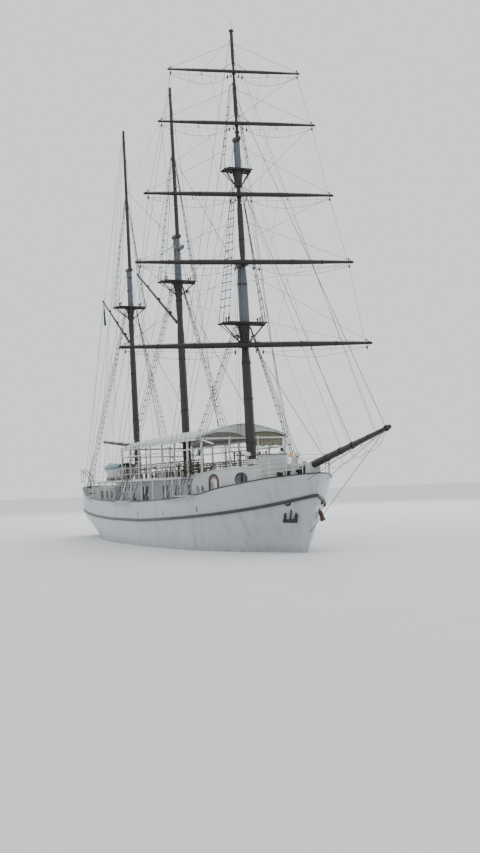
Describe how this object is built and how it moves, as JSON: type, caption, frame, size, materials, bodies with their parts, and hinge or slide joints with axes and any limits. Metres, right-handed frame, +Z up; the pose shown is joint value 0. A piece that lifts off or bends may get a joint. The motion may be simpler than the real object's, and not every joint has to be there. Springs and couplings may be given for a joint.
{
  "type": "three-masted sailing ship",
  "caption": "Sailing ship with square yards on the foremast, gaffs on the main and mizzen, a white hull, deckhouses, a raised promenade deck and a canvas-roofed pavilion amidships.",
  "frame": {"origin": "on the centreline amidships at the waterline", "axes": "+X towards the bow, +Y to port, +Z up"},
  "size_m": [39.6001, 12.6741, 30.1404],
  "materials": {
    "hull_paint": "gloss white paint",
    "white_paint": "semi-gloss white paint",
    "dark_paint": "dark brown-black paint",
    "deck_wood": "scrubbed planking",
    "dark_wood": "varnished",
    "spar_wood": "dark oiled",
    "mast_paint": "weathered paint",
    "iron": "black paint",
    "canvas": "coated canvas",
    "flag_cloth": "woven cloth",
    "wire": "tarred wire rope",
    "bronze": "cast"
  },
  "bodies": {
    "ship": {"hull": "hull_paint", "bulwark": "hull_paint", "cap_rail": "white_paint", "rubbing_strake": "dark_paint", "forecastle": "deck_wood", "forecastle_rail": "white_paint", "bowsprit": "spar_wood", "anchor_starboard": "iron", "anchor_port": "iron", "forward_deckhouse": "white_paint", "midships_deckhouse": "white_paint", "promenade_deck": "deck_wood", "promenade_rail": "white_paint", "stair_starboard": "white_paint", "stair_port": "white_paint", "pavilion_frame": "white_paint", "pavilion_roof_forward": "canvas", "pavilion_roof_aft": "canvas", "aft_deckhouse": "white_paint", "helm_pedestal": "dark_wood", "ships_boat": "white_paint", "fore_lower_mast": "mast_paint", "fore_topmast": "mast_paint", "fore_pole_mast": "mast_paint", "fore_top": "iron", "fore_crosstrees": "iron", "main_lower_mast": "mast_paint", "main_topmast": "mast_paint", "main_crosstrees": "iron", "mizzen_lower_mast": "mast_paint", "mizzen_topmast": "mast_paint", "mizzen_crosstrees": "iron", "fore_stay": "wire", "inner_jib_stay": "wire", "outer_jib_stay": "wire", "bobstay": "wire", "main_stay": "wire", "main_topmast_stay": "wire", "mizzen_stay": "wire", "mizzen_topmast_stay": "wire"},
    "rudder": {"rudder": "dark_paint"},
    "steering_wheel": {"steering_wheel": "dark_wood"},
    "propeller": {"propeller": "bronze"},
    "windlass_drum": {"windlass_drum": "iron"},
    "course_yard": {"course_yard": "spar_wood"},
    "lower_topsail_yard": {"lower_topsail_yard": "spar_wood"},
    "upper_topsail_yard": {"upper_topsail_yard": "spar_wood"},
    "topgallant_yard": {"topgallant_yard": "spar_wood"},
    "royal_yard": {"royal_yard": "spar_wood"},
    "main_gaff": {"main_gaff": "spar_wood"},
    "mizzen_gaff": {"mizzen_gaff": "spar_wood", "ensign": "flag_cloth"},
    "mizzen_boom": {"mizzen_boom": "spar_wood"},
    "forward_door_starboard": {"forward_door_starboard": "dark_wood"},
    "forward_door_port": {"forward_door_port": "dark_wood"},
    "midships_door": {"midships_door": "dark_wood"},
    "aft_door": {"aft_door": "dark_wood"},
    "skylight_lid": {"skylight_lid": "dark_wood"},
    "davit_forward": {"davit_forward": "white_paint"},
    "davit_aft": {"davit_aft": "white_paint"}
  },
  "joints": [
    {"name": "rudder_turn", "type": "hinge", "parent": "ship", "child": "rudder", "pos_m": [-14.05, 0, -1.7], "axis": [0, 0, 1], "range_deg": [-35, 35]},
    {"name": "wheel_turn", "type": "hinge", "parent": "ship", "child": "steering_wheel", "pos_m": [-15.8, 0, 2.9], "axis": [1, 0, 0], "range_deg": [-350, 350]},
    {"name": "propeller_spin", "type": "hinge", "parent": "ship", "child": "propeller", "pos_m": [-13.2, 0, -1.75], "axis": [1, 0, 0], "continuous": true},
    {"name": "windlass_spin", "type": "hinge", "parent": "ship", "child": "windlass_drum", "pos_m": [12.88, 0, 3.54], "axis": [0, 1, 0], "continuous": true},
    {"name": "course_brace", "type": "hinge", "parent": "ship", "child": "course_yard", "pos_m": [8.1834, 0, 10.02], "axis": [-0.0549, 0, 0.9985], "range_deg": [-14, 36]},
    {"name": "lower_topsail_brace", "type": "hinge", "parent": "ship", "child": "lower_topsail_yard", "pos_m": [8.29625, 0, 14.15], "axis": [-0.0549, 0, 0.9985], "range_deg": [-14, 36]},
    {"name": "upper_topsail_brace", "type": "hinge", "parent": "ship", "child": "upper_topsail_yard", "pos_m": [7.7721, 0, 17.68], "axis": [-0.0549, 0, 0.9985], "range_deg": [-14, 36]},
    {"name": "topgallant_brace", "type": "hinge", "parent": "ship", "child": "topgallant_yard", "pos_m": [7.78135, 0, 21.33], "axis": [-0.0549, 0, 0.9985], "range_deg": [-14, 36]},
    {"name": "royal_brace", "type": "hinge", "parent": "ship", "child": "royal_yard", "pos_m": [7.63065, 0, 24.07], "axis": [-0.0549, 0, 0.9985], "range_deg": [-14, 36]},
    {"name": "main_gaff_swing", "type": "hinge", "parent": "ship", "child": "main_gaff", "pos_m": [-1.587, 0, 12.7], "axis": [-0.0549, 0, 0.9985], "range_deg": [-30, 30]},
    {"name": "mizzen_gaff_swing", "type": "hinge", "parent": "ship", "child": "mizzen_gaff", "pos_m": [-10.69065, 0, 12.73], "axis": [-0.0549, 0, 0.9985], "range_deg": [-30, 30]},
    {"name": "mizzen_boom_swing", "type": "hinge", "parent": "ship", "child": "mizzen_boom", "pos_m": [-10.35945, 0, 5.89], "axis": [-0.0549, 0, 0.9985], "range_deg": [-30, 30]},
    {"name": "forward_door_starboard_swing", "type": "hinge", "parent": "ship", "child": "forward_door_starboard", "pos_m": [8.68, -2.4116, 2.8], "axis": [0, 0, 1], "range_deg": [0, 85]},
    {"name": "forward_door_port_swing", "type": "hinge", "parent": "ship", "child": "forward_door_port", "pos_m": [8.68, 2.4116, 2.8], "axis": [0, 0, -1], "range_deg": [0, 85]},
    {"name": "midships_door_swing", "type": "hinge", "parent": "ship", "child": "midships_door", "pos_m": [-6.3, 0.4, 2.5], "axis": [0, 0, -1], "range_deg": [0, 90]},
    {"name": "aft_door_swing", "type": "hinge", "parent": "ship", "child": "aft_door", "pos_m": [-14.6, 0.38, 2.5], "axis": [0, 0, -1], "range_deg": [0, 90]},
    {"name": "skylight_lid_lift", "type": "hinge", "parent": "ship", "child": "skylight_lid", "pos_m": [-13, 0.45, 3.5403], "axis": [-1, 0, 0], "range_deg": [0, 60]},
    {"name": "davit_forward_slew", "type": "hinge", "parent": "ship", "child": "davit_forward", "pos_m": [-12.95, -2.14675, 3], "axis": [0, 0, 1], "range_deg": [-90, 90]},
    {"name": "davit_aft_slew", "type": "hinge", "parent": "ship", "child": "davit_aft", "pos_m": [-15.85, -1.5505, 3], "axis": [0, 0, 1], "range_deg": [-90, 90]}
  ],
  "couplings": [
    {"joint": "wheel_turn", "follows": "rudder_turn", "ratio": 10},
    {"joint": "lower_topsail_brace", "follows": "course_brace", "ratio": 1},
    {"joint": "upper_topsail_brace", "follows": "course_brace", "ratio": 1},
    {"joint": "topgallant_brace", "follows": "course_brace", "ratio": 1},
    {"joint": "royal_brace", "follows": "course_brace", "ratio": 1}
  ]
}
